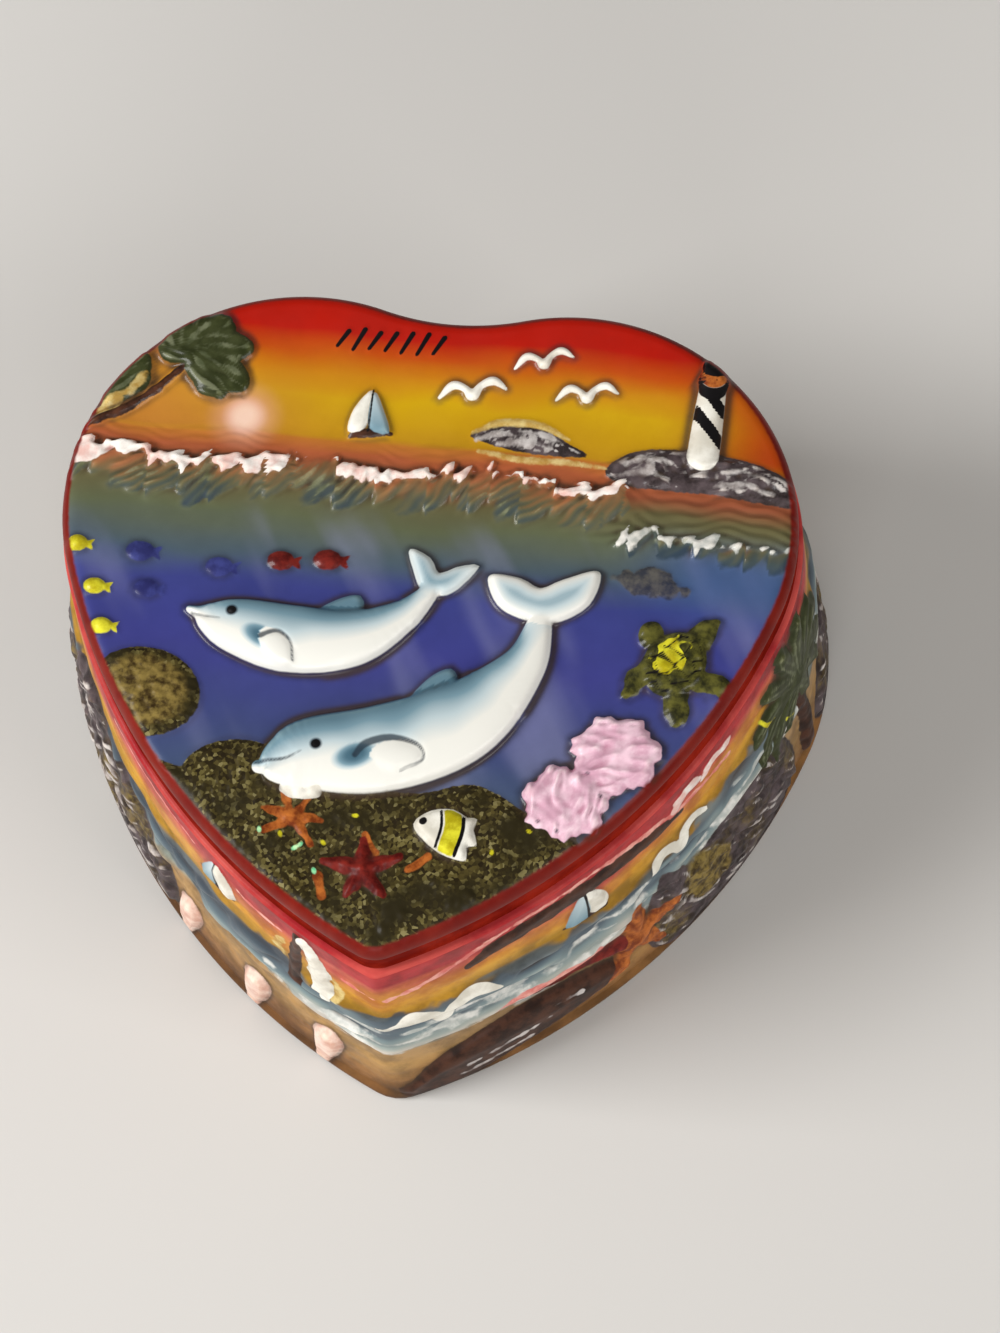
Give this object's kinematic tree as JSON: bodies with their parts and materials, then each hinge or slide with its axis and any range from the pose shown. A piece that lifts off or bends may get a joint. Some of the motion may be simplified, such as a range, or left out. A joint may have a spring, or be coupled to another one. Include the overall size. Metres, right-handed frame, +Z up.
{
  "type": "trinket box",
  "caption": "Heart-shaped cast trinket box with a lift-off lid, seaside relief round the wall and an underwater relief on top.",
  "frame": {"origin": "centre of the box's underside, under the middle of its bounding box", "axes": "+Z up through the lid, +X to the right across the two lobes, +Y from the tip towards the cleft"},
  "size_m": [0.0828, 0.0785, 0.0408],
  "materials": {
    "painted_wall": "hand-painted cast resin under a gloss coat, red sky over sea, sand and rocks",
    "painted_lid": "hand-painted cast resin under a gloss coat, red to yellow sky over blue water, dark red side"
  },
  "bodies": {
    "root": {"box_base": "painted_wall", "lid": "painted_lid"}
  },
  "joints": []
}
